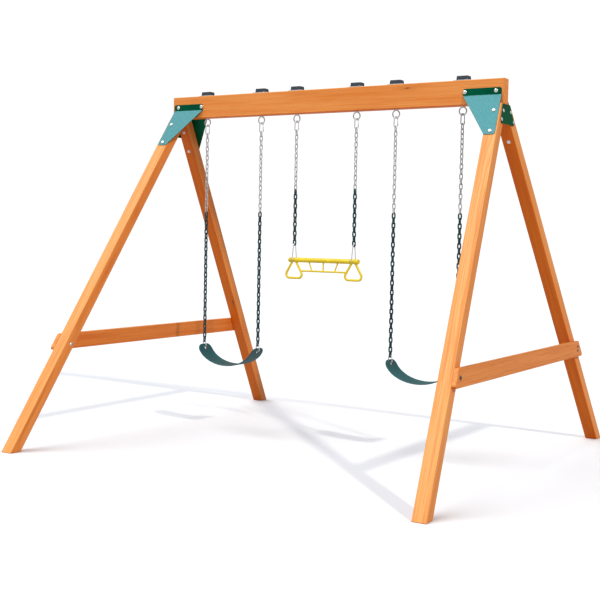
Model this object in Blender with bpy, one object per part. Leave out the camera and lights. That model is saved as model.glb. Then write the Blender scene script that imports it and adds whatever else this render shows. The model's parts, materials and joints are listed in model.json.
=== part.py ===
"""Swing set: a timber beam on two A-frames, with two belt swings and a trapeze hanging on chains.

Metres, +Z up. The origin is on the ground below the middle of the beam. The beam runs along X and the swings
move in YZ planes; -Y is the front. The frame is symmetric about x = 0 and y = 0, so its repeated pieces are
made once, at the front right, and mirrored by their object's scale.
"""

import math

import bmesh
import bpy
from mathutils import Matrix, Vector

GAP = 0.0003  # clearance between touching pieces
CONTACT = 0.0008  # running clearance where one piece of wire hangs on another

# Timber
BEAM_LENGTH = 2.290
BEAM_DEPTH = 0.070
BEAM_HEIGHT = 0.140
BEAM_BOTTOM = 2.030
BEAM_TOP = BEAM_BOTTOM + BEAM_HEIGHT
LEG_WIDTH = 0.076
LEG_THICKNESS = 0.067
LEG_LEAN = math.radians(32.0)
LEG_SPLAY = 0.1  # outward run in X per metre of drop
LEG_FACE_Y = 0.066  # centre plane to the leg's outer face, at the beam's underside
LEG_OUTER_X = 1.148
BRACE_BOTTOM = 0.567
BRACE_HEIGHT = 0.095
BRACE_THICKNESS = 0.025
ARRIS = 0.004  # rounding of the timber's long edges
LEAN = math.tan(LEG_LEAN)

# Steel brackets and plates
PLATE = 0.003
BAND_TOP = 2.120
BAND_INNER_X = 0.907
BAND_OUTER_X = 1.134
BRACKET_BOTTOM = 1.849
BRACKET_FOOT_INNER_X = 1.093
BRACKET_FOOT_OUTER_X = 1.158
GUSSET_TOP = 2.027
GUSSET_BOTTOM = 1.916
GUSSET_TOP_HALF = 0.052
GUSSET_BOTTOM_HALF = 0.108

# Bolts
BOLT_RADIUS = 0.004
BOLT_HOLE = 0.0043
HEAD_RADIUS = 0.0115
HEAD_HEIGHT = 0.006
WASHER_RADIUS = 0.011
WASHER = 0.0016
NUT_FLAT = 0.0065  # centre to flat
NUT_HEIGHT = 0.007
BOLT_END = 0.003
NUT_PLAY = 0.001
BAND_BOLT_X = (0.917, 1.102)
BAND_BOLT_Z = 2.101
LEG_BOLT_Z = (1.986, 1.867)

# Hangers: an eye bolt through the beam, with a plate, a nut and a cap on top
EYE_RADIUS = 0.0225
EYE_WIRE = 0.004
EYE_Z = 2.0015
SHANK_RADIUS = 0.005
SHANK_HOLE = 0.0055
COLLAR_RADIUS = 0.013
COLLAR = 0.0035
TOP_PLATE_SIZE = (0.104, 0.066)
TOP_PLATE = 0.0025
HANGER_NUT_FLAT = 0.0085
HANGER_NUT_TOP = 2.180
SHANK_TOP = 2.183
CAP_BASE = (0.072, 0.052)
CAP_TOP = (0.067, 0.047)
CAP_HEIGHT = 0.024
CAP_HOLLOW = (0.030, 0.030, 0.013)
CAP_EDGE = 0.003

# Clips, chains, loops
CLIP_WIRE = 0.0035
CLIP_RADIUS = 0.0135
CLIP_LENGTH = 0.061  # between the centre lines of its two ends
CLIP_TURN = math.radians(-30.0)  # about Z: how far the top clips and the first links have twisted
LINK_PITCH = 0.02812
LINK_WIRE = 0.0028
COATED_WIRE = 0.004
LINK_RADIUS = 0.0085
LINK_HALF = LINK_PITCH / 2 + LINK_WIRE  # link centre to the centre line of its end
BARE_ROD = 0.009
COATED_ROD = 0.011
SEAT_CLIP_RADIUS = 0.013
SEAT_CLIP_LENGTH = 0.044

PIVOT_Z = EYE_Z - EYE_RADIUS
CLIP_TOP_Z = PIVOT_Z + EYE_WIRE + CONTACT + CLIP_WIRE
CLIP_BOTTOM_Z = CLIP_TOP_Z - CLIP_LENGTH
FIRST_LINK_Z = CLIP_BOTTOM_Z + CLIP_WIRE + CONTACT + LINK_WIRE - LINK_HALF

# Belt seats
SEAT_WIDTH = 0.145
SEAT_THICKNESS = 0.006
SEAT_BOTTOM_Z = 0.441
SEAT_HALF_SPAN = 0.213
SEAT_HOLE_X = 0.2036
SEAT_HOLE_Z = 0.5383
SEAT_HOLE = 0.012
SEAT_TAB = 0.027  # hole centre to the end of the belt
SEAT_CORNER = 0.045

# Trapeze
BAR_Z = 1.133
BAR_RADIUS = 0.015
BAR_LENGTH = 0.492
BAR_HOLE = 0.0046
LOOP_BOTTOM_HALF = 0.026
LOOP_TOP_HALF = 0.011
RING_TOP_HALF = 0.010
RING_TOP_Z = 1.128
RING_BOTTOM_HALF = 0.073
RING_BOTTOM_Z = 1.021
RING_CORNER = 0.022
RING_WIRE = 0.0075
RAIL_Z = 1.066
RAIL_HALF = 0.168
RAIL_WIRE = 0.006
STRUT_WIRE = 0.005
STRUTS = ((-0.104, -0.080), (0.0, 0.0), (0.104, 0.080))  # x at the bar and at the rail
STRUT_TOP_Z = 1.125

# name, centre x, half the distance between its hangers, number of chain links, top of the coated links
SWINGS = (
    ("left_swing", -0.682, 0.210, 48, 1.437),
    ("trapeze", 0.0, 0.210, 25, 1.562),
    ("right_swing", 0.682, 0.210, 48, 1.437),
)


def material(name, color, roughness, metallic=0.0):
    made = bpy.data.materials.new(name)
    made.use_nodes = True
    shader = made.node_tree.nodes["Principled BSDF"]
    shader.inputs["Base Color"].default_value = (*color, 1.0)
    shader.inputs["Roughness"].default_value = roughness
    shader.inputs["Metallic"].default_value = metallic
    return made


def to_mesh(bm, name, finish):
    """The bmesh as a mesh with outward faces, smooth where its faces meet at a low angle."""
    bmesh.ops.recalc_face_normals(bm, faces=bm.faces)
    mesh = bpy.data.meshes.new(name)
    bm.to_mesh(mesh)
    bm.free()
    mesh.shade_smooth()
    mesh.set_sharp_from_angle(angle=math.radians(35.0))
    mesh.materials.append(finish)
    return mesh


def add_object(name, mesh, location=(0.0, 0.0, 0.0), scale=(1.0, 1.0, 1.0), parent=None):
    """Places a mesh at a world location; a parent is an empty with no rotation."""
    made = bpy.data.objects.new(name, mesh)
    bpy.context.scene.collection.objects.link(made)
    made.location = Vector(location)
    made.scale = scale
    if parent:
        made.parent = parent
        made.location -= parent.matrix_world.translation
    return made


def combine(mesh, others, operation):
    """The mesh after a Boolean with each of the others, which are used up."""
    base = add_object(mesh.name, mesh)
    helpers = [add_object("helper", other) for other in others]
    for helper in helpers:
        modifier = base.modifiers.new(operation, "BOOLEAN")
        modifier.operation = operation
        modifier.solver = "EXACT"
        modifier.object = helper
    graph = bpy.context.evaluated_depsgraph_get()
    result = bpy.data.meshes.new_from_object(base.evaluated_get(graph))
    result.name = mesh.name
    for used in [base, *helpers]:
        bpy.data.objects.remove(used)
    return result


def rounded(corners, radii, steps=3):
    """A closed outline through 2D corners, each turned into an arc of its radius in this many steps."""
    outline = []
    count = len(corners)
    for index, radius in enumerate(radii):
        corner = Vector(corners[index])
        before = (Vector(corners[index - 1]) - corner).normalized()
        after = (Vector(corners[(index + 1) % count]) - corner).normalized()
        if radius == 0.0:
            outline.append(corner)
            continue
        half = before.angle(after) / 2
        centre = corner + (before + after).normalized() * radius / math.sin(half)
        start = corner + before * radius / math.tan(half) - centre
        turn = start.angle_signed(corner + after * radius / math.tan(half) - centre)
        for step in range(steps + 1):
            outline.append(centre + Matrix.Rotation(-turn * step / steps, 2) @ start)
    return outline


def stadium(radius, length, steps=6):
    """Centre line of an oval link with round ends of this radius, this long in all, centred on (0, 0)."""
    outline = []
    for end in (1, -1):
        for step in range(steps + 1):
            turn = math.pi * step / steps
            outline.append(Vector((math.cos(turn), math.sin(turn))) * radius * end)
            outline[-1].y += end * (length / 2 - radius)
    return outline


def prism(outline, depth):
    """A closed prism on a flat 3D outline, pushed along the vector depth."""
    bm = bmesh.new()
    face = bm.faces.new([bm.verts.new(point) for point in outline])
    pushed = bmesh.ops.extrude_face_region(bm, geom=[face])["geom"]
    bmesh.ops.translate(bm, vec=depth, verts=[v for v in pushed if isinstance(v, bmesh.types.BMVert)])
    return bm


def sweep(path, normal, radius, sides=6, closed=True):
    """Round wire along a flat 3D path whose plane has this normal."""
    bm = bmesh.new()
    count = len(path)
    rings = []
    for index, point in enumerate(path):
        last = path[index - 1] if closed or index else point
        following = path[(index + 1) % count] if closed or index + 1 < count else point
        ahead = (following - point).normalized() + (point - last).normalized()
        across = ahead.normalized().cross(normal)
        turns = [math.tau * (side + 0.5) / sides for side in range(sides)]
        rings.append([bm.verts.new(point + radius * (math.cos(a) * across + math.sin(a) * normal)) for a in turns])
    for index in range(count if closed else count - 1):
        near, far = rings[index], rings[(index + 1) % count]
        for side in range(sides):
            after = (side + 1) % sides
            bm.faces.new((near[side], near[after], far[after], far[side]))
    if not closed:
        bm.faces.new(rings[0])
        bm.faces.new(rings[-1])
    return bm


def turned(profile, sides=12):
    """A solid turned about Z from (radius, z, is_hexagon) rows; a hexagon row's radius is centre to flat."""
    bm = bmesh.new()
    rings = []
    for radius, height, is_hexagon in profile:
        ring = []
        for side in range(sides):
            turn = math.tau * side / sides
            sixth = math.tau / 6
            reach = radius / math.cos(turn % sixth - sixth / 2) if is_hexagon else radius
            ring.append(bm.verts.new((reach * math.cos(turn), reach * math.sin(turn), height)))
        rings.append(ring)
    for low, high in zip(rings, rings[1:]):
        for side in range(sides):
            after = (side + 1) % sides
            bm.faces.new((low[side], low[after], high[after], high[side]))
    bm.faces.new(rings[0])
    bm.faces.new(rings[-1])
    return bm


def cylinder(start, direction, length, radius, sides=12):
    """A solid rod from start along direction."""
    bm = turned([(radius, 0.0, False), (radius, length, False)], sides)
    turn = Vector(direction).to_track_quat("Z", "Y").to_matrix().to_4x4()
    bmesh.ops.transform(bm, matrix=Matrix.Translation(start) @ turn, verts=bm.verts)
    return bm


def hole_cutter(middle, direction, radius, length=0.3):
    """A long rod centred on a hole, to be subtracted."""
    direction = Vector(direction).normalized()
    start = Vector(middle) - direction * length / 2
    return to_mesh(cylinder(start, direction, length, radius), "cutter", STEEL)


def bolt(start, direction, grip):
    """A domed bolt with its washer and nut; start is under the head and direction runs to the nut."""
    profile = [
        (HEAD_RADIUS * 0.45, -HEAD_HEIGHT, False),
        (HEAD_RADIUS * 0.85, -HEAD_HEIGHT * 0.6, False),
        (HEAD_RADIUS, 0.0, False),
        (BOLT_RADIUS, 0.0, False),
        (BOLT_RADIUS, grip, False),
        (WASHER_RADIUS, grip, False),
        (WASHER_RADIUS, grip + WASHER, False),
        (NUT_FLAT, grip + WASHER, True),
        (NUT_FLAT, grip + WASHER + NUT_HEIGHT, True),
        (BOLT_RADIUS, grip + WASHER + NUT_HEIGHT, False),
        (BOLT_RADIUS, grip + WASHER + NUT_HEIGHT + BOLT_END, False),
    ]
    bm = turned(profile)
    turn = Vector(direction).to_track_quat("Z", "Y").to_matrix().to_4x4()
    bmesh.ops.transform(bm, matrix=Matrix.Translation(start) @ turn, verts=bm.verts)
    return to_mesh(bm, "bolt", STEEL)


def leg_face(z, x=None):
    """The point of the front right leg's outer face at a height, on the face's middle line unless x is given."""
    drop = BEAM_BOTTOM - z
    if x is None:
        x = LEG_OUTER_X + LEG_SPLAY * drop - LEG_WIDTH / 2
    return Vector((x, -LEG_FACE_Y - LEAN * drop, z))


def side_plane(y, z, stand_off=0.0):
    """The point of the plane over the outer sides of the two right legs, at this y and z."""
    return Vector((LEG_OUTER_X + LEG_SPLAY * (BEAM_BOTTOM - z) + stand_off, y, z))


LEG_RUN = Vector((LEG_SPLAY, -LEAN, -1.0))  # down the front right leg, per metre of drop
LEG_NORMAL = Vector((0.0, -math.cos(LEG_LEAN), math.sin(LEG_LEAN)))
LEG_SIDE = LEG_NORMAL.cross(LEG_RUN).normalized()
SIDE_NORMAL = Vector((1.0, 0.0, LEG_SPLAY)).normalized()
BRACE_BOLT_Z = BRACE_BOTTOM + BRACE_HEIGHT / 2
BRACE_BOLT_Y = leg_face(BRACE_BOLT_Z).y + LEG_THICKNESS / math.cos(LEG_LEAN) / 2


def trim(bm, point, normal):
    """Cuts off what lies on the normal's side of a plane, and closes the cut."""
    everything = bm.verts[:] + bm.edges[:] + bm.faces[:]
    cut = bmesh.ops.bisect_plane(bm, geom=everything, plane_co=point, plane_no=normal, clear_outer=True)
    edges = [e for e in cut["geom_cut"] if isinstance(e, bmesh.types.BMEdge)]
    bmesh.ops.contextual_create(bm, geom=edges)


def beam_mesh():
    half_y = BEAM_DEPTH / 2
    corners = [(-half_y, BEAM_BOTTOM), (half_y, BEAM_BOTTOM), (half_y, BEAM_TOP), (-half_y, BEAM_TOP)]
    section = rounded(corners, [ARRIS] * 4)
    end = [Vector((-BEAM_LENGTH / 2, y, z)) for y, z in section]
    mesh = to_mesh(prism(end, Vector((BEAM_LENGTH, 0.0, 0.0))), "top_beam", TIMBER)
    cutters = []
    for _, centre, half, _, _ in SWINGS:
        for side in (-1, 1):
            cutters.append(hole_cutter((centre + side * half, 0.0, BEAM_BOTTOM), (0, 0, 1), SHANK_HOLE, 0.4))
    for side in (-1, 1):
        for x in BAND_BOLT_X:
            cutters.append(hole_cutter((side * x, 0.0, BAND_BOLT_Z), (0, 1, 0), BOLT_HOLE))
    return combine(mesh, cutters, "DIFFERENCE")


def leg_mesh(has_brace_bolt):
    """The front right leg: a squared timber cut level at both ends, and upright where the two legs meet."""
    square = [(0, 0), (-LEG_WIDTH, 0), (-LEG_WIDTH, -LEG_THICKNESS), (0, -LEG_THICKNESS)]
    top = Vector((LEG_OUTER_X, -LEG_FACE_Y, BEAM_BOTTOM)) - LEG_RUN * 0.2
    section = [top + LEG_SIDE * across + LEG_NORMAL * deep for across, deep in rounded(square, [ARRIS] * 4)]
    bm = prism(section, LEG_RUN * (BEAM_BOTTOM + 0.4))
    trim(bm, (0, 0, 0), (0, 0, -1))
    trim(bm, (0, 0, BEAM_BOTTOM - GAP), (0, 0, 1))
    trim(bm, (0, -GAP / 2, 0), (0, 1, 0))
    foot = [e for e in bm.edges if all(abs(v.co.z) < GAP for v in e.verts)]
    bmesh.ops.bevel(bm, geom=foot, offset=0.003, segments=1, affect="EDGES")
    mesh = to_mesh(bm, "leg", TIMBER)
    cutters = [hole_cutter(leg_face(z), LEG_NORMAL, BOLT_HOLE) for z in LEG_BOLT_Z]
    if has_brace_bolt:
        cutters.append(hole_cutter(side_plane(BRACE_BOLT_Y, BRACE_BOLT_Z), SIDE_NORMAL, BOLT_HOLE))
    return combine(mesh, cutters, "DIFFERENCE")


def side_board(corners, radii, stand_off, thickness, name, finish):
    """A flat board or plate over the outer sides of the right legs, from its (y, z) corners."""
    outline = [side_plane(y, z, stand_off) for y, z in rounded(corners, radii)]
    return to_mesh(prism(outline, SIDE_NORMAL * thickness), name, finish)


def brace_mesh():
    """The right brace: a board whose ends are cut in line with the legs' outer faces."""
    low = -leg_face(BRACE_BOTTOM).y
    high = -leg_face(BRACE_BOTTOM + BRACE_HEIGHT).y
    top = BRACE_BOTTOM + BRACE_HEIGHT
    corners = [(-low, BRACE_BOTTOM), (low, BRACE_BOTTOM), (high, top), (-high, top)]
    board = side_board(corners, [0.012] * 4, GAP, BRACE_THICKNESS, "side_brace", TIMBER)
    cutter = hole_cutter(side_plane(BRACE_BOLT_Y, BRACE_BOLT_Z), SIDE_NORMAL, BOLT_HOLE)
    return combine(board, [cutter], "DIFFERENCE")


def gusset_mesh():
    corners = [
        (-GUSSET_BOTTOM_HALF, GUSSET_BOTTOM),
        (GUSSET_BOTTOM_HALF, GUSSET_BOTTOM),
        (GUSSET_TOP_HALF, GUSSET_TOP),
        (-GUSSET_TOP_HALF, GUSSET_TOP),
    ]
    return side_board(corners, [0.016, 0.016, 0.010, 0.010], GAP, PLATE, "gusset_plate", GREEN_PAINT)


def bracket_mesh():
    """The front right bracket: a band on the beam, bent along a level line into a tapered plate on the leg."""
    back_y = BEAM_DEPTH / 2 + GAP
    bend_z = BEAM_BOTTOM + (LEG_FACE_Y + GAP / math.cos(LEG_LEAN) - back_y) / LEAN
    upper = rounded(
        [(BAND_INNER_X, bend_z), (BAND_OUTER_X, bend_z), (BAND_OUTER_X, BAND_TOP), (BAND_INNER_X, BAND_TOP)],
        [0.0, 0.0, 0.012, 0.012],
    )
    lower = rounded(
        [
            (BAND_OUTER_X, bend_z),
            (BAND_INNER_X, bend_z),
            (BRACKET_FOOT_INNER_X, BRACKET_BOTTOM),
            (BRACKET_FOOT_OUTER_X, BRACKET_BOTTOM),
        ],
        [0.0, 0.0, 0.010, 0.010],
    )
    bm = bmesh.new()
    for outline in (upper, lower):
        bm.faces.new([bm.verts.new((x, -back_y - LEAN * max(bend_z - z, 0.0), z)) for x, z in outline])
    bmesh.ops.remove_doubles(bm, verts=bm.verts, dist=1e-6)
    mesh = bpy.data.meshes.new("bracket")
    bm.to_mesh(mesh)
    bm.free()
    mesh.materials.append(GREEN_PAINT)
    sheet = add_object("bracket", mesh)
    solidify = sheet.modifiers.new("thickness", "SOLIDIFY")
    solidify.thickness = PLATE
    solidify.offset = 1.0
    solidify.use_even_offset = True
    graph = bpy.context.evaluated_depsgraph_get()
    plate = bpy.data.meshes.new_from_object(sheet.evaluated_get(graph))
    bpy.data.objects.remove(sheet)
    cutters = [hole_cutter((x, -back_y, BAND_BOLT_Z), (0, 1, 0), BOLT_HOLE, 0.03) for x in BAND_BOLT_X]
    cutters += [hole_cutter(leg_face(z), LEG_NORMAL, BOLT_HOLE, 0.03) for z in LEG_BOLT_Z]
    return combine(plate, cutters, "DIFFERENCE")


def eye_mesh():
    """A hanger about x = 0: the eye, its collar, the bolt through the beam, the top plate and the nut."""
    turns = [math.tau * step / 16 for step in range(16)]
    circle = [Vector((EYE_RADIUS * math.cos(a), 0.0, EYE_Z + EYE_RADIUS * math.sin(a))) for a in turns]
    ring = to_mesh(sweep(circle, Vector((0, 1, 0)), EYE_WIRE, 8), "hanger_eye", STEEL)
    under = BEAM_BOTTOM - GAP
    on_top = BEAM_TOP + GAP
    shank = turned(
        [
            (SHANK_RADIUS, EYE_Z + EYE_RADIUS - 0.001, False),
            (SHANK_RADIUS, under - COLLAR, False),
            (COLLAR_RADIUS, under - COLLAR, False),
            (COLLAR_RADIUS, under, False),
            (SHANK_RADIUS, under, False),
            (SHANK_RADIUS, on_top + TOP_PLATE / 2, False),
            (HANGER_NUT_FLAT, on_top + TOP_PLATE / 2, True),
            (HANGER_NUT_FLAT, HANGER_NUT_TOP, True),
            (SHANK_RADIUS, HANGER_NUT_TOP, False),
            (SHANK_RADIUS, SHANK_TOP, False),
        ]
    )
    half_x, half_y = TOP_PLATE_SIZE[0] / 2, TOP_PLATE_SIZE[1] / 2
    corners = [(-half_x, -half_y), (half_x, -half_y), (half_x, half_y), (-half_x, half_y)]
    flat = [Vector((x, y, on_top)) for x, y in rounded(corners, [0.008] * 4, 2)]
    plate = prism(flat, Vector((0.0, 0.0, TOP_PLATE)))
    parts = [to_mesh(shank, "shank", STEEL), to_mesh(plate, "plate", STEEL)]
    return combine(ring, parts, "UNION")


def cap_mesh():
    """The plastic cap about x = 0: a tapered block, hollow below for the nut."""
    low = BEAM_TOP + GAP + TOP_PLATE + GAP
    bm = bmesh.new()
    bmesh.ops.create_cube(bm, size=1.0)
    for vert in bm.verts:
        size = CAP_TOP if vert.co.z > 0 else CAP_BASE
        vert.co = (vert.co.x * size[0], vert.co.y * size[1], low + (vert.co.z + 0.5) * CAP_HEIGHT)
    rim = [e for e in bm.edges if any(v.co.z > low + GAP for v in e.verts)]
    bmesh.ops.bevel(bm, geom=rim, offset=CAP_EDGE, segments=2, affect="EDGES")
    block = to_mesh(bm, "hanger_cap", DARK_PLASTIC)
    hollow = bmesh.new()
    bmesh.ops.create_cube(hollow, size=1.0)
    for vert in hollow.verts:
        high = CAP_HOLLOW[2] if vert.co.z > 0 else -CAP_HOLLOW[2]
        vert.co = (vert.co.x * CAP_HOLLOW[0], vert.co.y * CAP_HOLLOW[1], low + high)
    return combine(block, [to_mesh(hollow, "hollow", DARK_PLASTIC)], "DIFFERENCE")


def top_clip_mesh():
    """The clip about its swing's axis: an upright oval of wire over the bottom of the eye."""
    middle = (CLIP_TOP_Z + CLIP_BOTTOM_Z) / 2 - PIVOT_Z
    turn = Matrix.Rotation(CLIP_TURN, 3, "Z")
    path = [turn @ Vector((0.0, across, middle + up)) for across, up in stadium(CLIP_RADIUS, CLIP_LENGTH)]
    return to_mesh(sweep(path, turn @ Vector((1, 0, 0)), CLIP_WIRE), "top_clip", STEEL)


def last_link_z(links):
    return FIRST_LINK_Z - LINK_PITCH * (links - 1)


def chain_mesh(links, coat_top, last_in_yz):
    """A chain about its swing's axis: its two end links, and between them a rod of the chain's outer size."""
    first = FIRST_LINK_Z - PIVOT_Z
    last = last_link_z(links) - PIVOT_Z
    rod = turned(
        [
            (COATED_ROD, last + 0.006, False),
            (COATED_ROD, coat_top - PIVOT_Z, False),
            (BARE_ROD, coat_top - PIVOT_Z, False),
            (BARE_ROD, first - 0.002, False),
        ],
        8,
    )
    outline = stadium(LINK_RADIUS, 2 * LINK_HALF, 4)
    turn = Matrix.Rotation(CLIP_TURN, 3, "Z")
    top = [turn @ Vector((across, 0.0, first + up)) for across, up in outline]
    if last_in_yz:
        low = [Vector((0.0, across, last + up)) for across, up in outline]
        low_normal = Vector((1, 0, 0))
    else:
        low = [Vector((across, 0.0, last + up)) for across, up in outline]
        low_normal = Vector((0, 1, 0))
    ends = [
        to_mesh(sweep(top, turn @ Vector((0, 1, 0)), LINK_WIRE), "link", STEEL),
        to_mesh(sweep(low, low_normal, COATED_WIRE), "link", GREEN_COAT),
    ]
    return combine(to_mesh(rod, "chain", GREEN_COAT), ends, "UNION")


def belt_tilt_z(links):
    """Height of the seat clip's top wire, which a belt seat tips about."""
    return last_link_z(links) - LINK_HALF + COATED_WIRE + CONTACT + CLIP_WIRE


def seat_clip_mesh():
    """The belt's clip about the seat's axis: an oval of wire in the XZ plane."""
    outline = stadium(SEAT_CLIP_RADIUS, SEAT_CLIP_LENGTH)
    path = [Vector((across, 0.0, up - SEAT_CLIP_LENGTH / 2)) for across, up in outline]
    return to_mesh(sweep(path, Vector((0, 1, 0)), CLIP_WIRE), "seat_clip", STEEL)


def belt_rows():
    """(middle point, normal, half width) across the belt, from its left end to its right end."""
    rise = SEAT_HOLE_Z - SEAT_BOTTOM_Z
    reach = math.asin(SEAT_HOLE_X / SEAT_HALF_SPAN)
    height = rise / (1.0 - math.cos(reach))
    half = SEAT_WIDTH / 2
    rows = []
    steps = 22
    for step in range(steps + 1):
        turn = reach * (2.0 * step / steps - 1.0)
        point = Vector((SEAT_HALF_SPAN * math.sin(turn), 0.0, SEAT_BOTTOM_Z + height * (1.0 - math.cos(turn))))
        along = Vector((SEAT_HALF_SPAN * math.cos(turn), 0.0, height * math.sin(turn))).normalized()
        rows.append((point, along))
    first, last = rows[0], rows[-1]
    for part in (0.35, 0.65, 0.85, 1.0):
        rows.insert(0, (first[0] - first[1] * SEAT_TAB * part, first[1]))
        rows.append((last[0] + last[1] * SEAT_TAB * part, last[1]))
    made = []
    for point, along in rows:
        to_end = min((point - rows[0][0]).length, (point - rows[-1][0]).length)
        inset = SEAT_CORNER - math.sqrt(max(SEAT_CORNER**2 - max(SEAT_CORNER - to_end, 0.0) ** 2, 0.0))
        made.append((point, along.cross(Vector((0, -1, 0))), half - inset))
    return made, last


def belt_mesh(tilt_z):
    """The belt seat about its axis: a strap bent into a hanging curve, holed at each end for its clip."""
    rows, (hole, along) = belt_rows()
    bm = bmesh.new()
    sections = []
    for point, normal, half in rows:
        base = point - Vector((0.0, 0.0, tilt_z))
        thick = normal * SEAT_THICKNESS / 2
        edge = Vector((0.0, half, 0.0))
        sections.append([bm.verts.new(base + a) for a in (edge + thick, thick - edge, -edge - thick, edge - thick)])
    for near, far in zip(sections, sections[1:]):
        for side in range(4):
            after = (side + 1) % 4
            bm.faces.new((near[side], near[after], far[after], far[side]))
    bm.faces.new(sections[0])
    bm.faces.new(sections[-1])
    strap = to_mesh(bm, "belt_seat", GREEN_RUBBER)
    cutters = []
    for side in (-1, 1):
        middle = (side * hole.x, 0.0, hole.z - tilt_z)
        through = (-side * along.z, 0.0, along.x)
        cutters.append(hole_cutter(middle, through, SEAT_HOLE, 0.03))
    return combine(strap, cutters, "DIFFERENCE")


def loop_mesh(tilt_z):
    """A trapeze loop about the bar's tilt axis: wire in the YZ plane, from the chain through the bar."""
    top = tilt_z + COATED_WIRE + CONTACT + CLIP_WIRE
    corners = [
        (-LOOP_BOTTOM_HALF, BAR_Z),
        (LOOP_BOTTOM_HALF, BAR_Z),
        (LOOP_TOP_HALF, top),
        (-LOOP_TOP_HALF, top),
    ]
    outline = rounded(corners, [0.009, 0.009, 0.010, 0.010])
    path = [Vector((0.0, across, up - tilt_z)) for across, up in outline]
    return to_mesh(sweep(path, Vector((1, 0, 0)), CLIP_WIRE), "trapeze_loop", STEEL)


def bar_mesh(hang, tilt_z):
    start = Vector((-BAR_LENGTH / 2, 0.0, BAR_Z - tilt_z))
    bar = to_mesh(cylinder(start, (1, 0, 0), BAR_LENGTH, BAR_RADIUS, 20), "trapeze_bar", YELLOW_PLASTIC)
    cutters = [hole_cutter((side * hang, 0.0, BAR_Z - tilt_z), (0, 1, 0), BAR_HOLE, 0.1) for side in (-1, 1)]
    return combine(bar, cutters, "DIFFERENCE")


def ring_frame_mesh(hang, tilt_z):
    """The moulding below the bar: two rounded triangular rings, a rail and three struts, coped to the bar."""
    across_y = Vector((0, 1, 0))
    corners = [
        (-RING_BOTTOM_HALF, RING_BOTTOM_Z),
        (RING_BOTTOM_HALF, RING_BOTTOM_Z),
        (RING_TOP_HALF, RING_TOP_Z),
        (-RING_TOP_HALF, RING_TOP_Z),
    ]
    outline = rounded(corners, [RING_CORNER, RING_CORNER, 0.006, 0.006], 5)
    parts = []
    for side in (-1, 1):
        path = [Vector((side * hang + x, 0.0, z - tilt_z)) for x, z in outline]
        parts.append(to_mesh(sweep(path, across_y, RING_WIRE, 8), "ring_frame", YELLOW_PLASTIC))
    rail = [Vector((-RAIL_HALF, 0.0, RAIL_Z - tilt_z)), Vector((RAIL_HALF, 0.0, RAIL_Z - tilt_z))]
    parts.append(to_mesh(sweep(rail, across_y, RAIL_WIRE, 8, closed=False), "rail", YELLOW_PLASTIC))
    for at_bar, at_rail in STRUTS:
        strut = [Vector((at_bar, 0.0, STRUT_TOP_Z - tilt_z)), Vector((at_rail, 0.0, RAIL_Z - tilt_z))]
        parts.append(to_mesh(sweep(strut, across_y, STRUT_WIRE, 8, closed=False), "strut", YELLOW_PLASTIC))
    joined = combine(parts[0], parts[1:], "UNION")
    start = Vector((-BAR_LENGTH, 0.0, BAR_Z - tilt_z))
    bar_space = to_mesh(cylinder(start, (1, 0, 0), 2 * BAR_LENGTH, BAR_RADIUS + GAP, 20), "cope", YELLOW_PLASTIC)
    return combine(joined, [bar_space], "DIFFERENCE")


def build_frame():
    add_object("top_beam", beam_mesh())
    bracket, brace, gusset = bracket_mesh(), brace_mesh(), gusset_mesh()
    legs = {"front": leg_mesh(has_brace_bolt=True), "rear": leg_mesh(has_brace_bolt=False)}
    leg_grip = PLATE + GAP + LEG_THICKNESS + 2 * GAP
    leg_bolt = bolt(leg_face(LEG_BOLT_Z[1]) + LEG_NORMAL * (PLATE + 2 * GAP), -LEG_NORMAL, leg_grip)
    brace_start = side_plane(BRACE_BOLT_Y, BRACE_BOLT_Z, GAP) + SIDE_NORMAL * (BRACE_THICKNESS + GAP)
    inner_side = leg_face(BRACE_BOLT_Z, LEG_OUTER_X + LEG_SPLAY * (BEAM_BOTTOM - BRACE_BOLT_Z)) - LEG_SIDE * LEG_WIDTH
    brace_grip = (brace_start - inner_side).dot(LEG_SIDE) / SIDE_NORMAL.dot(LEG_SIDE) + NUT_PLAY
    brace_bolt = bolt(brace_start, -SIDE_NORMAL, brace_grip)
    for end, x_side in (("left", -1.0), ("right", 1.0)):
        for face, y_side in (("front", 1.0), ("rear", -1.0)):
            mirror = (x_side, y_side, 1.0)
            add_object(f"leg_{face}_{end}", legs[face], scale=mirror)
            add_object(f"bracket_{face}_{end}", bracket, scale=mirror)
            add_object(f"leg_bolt_{face}_{end}", leg_bolt, scale=mirror)
        mirror = (x_side, 1.0, 1.0)
        add_object(f"side_brace_{end}", brace, scale=mirror)
        add_object(f"gusset_plate_{end}", gusset, scale=mirror)
        add_object(f"brace_bolt_{end}", brace_bolt, scale=mirror)
    half_grip = BEAM_DEPTH / 2 + GAP + PLATE + GAP
    beam_bolt = bolt((0.0, -half_grip, 0.0), (0, 1, 0), 2 * half_grip)
    for end, x_side in (("left", -1.0), ("right", 1.0)):
        for place, x in zip(("inner", "outer"), BAND_BOLT_X):
            add_object(f"beam_bolt_{end}_{place}", beam_bolt, (x_side * x, 0.0, BAND_BOLT_Z))


def add_pivot(name, location, parent=None):
    """An empty on a joint's axis, which its moving pieces hang from."""
    pivot = bpy.data.objects.new(name, None)
    bpy.context.scene.collection.objects.link(pivot)
    pivot.location = Vector(location)
    if parent:
        pivot.parent = parent
        pivot.location -= parent.matrix_world.translation
    bpy.context.view_layer.update()
    return pivot


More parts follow.
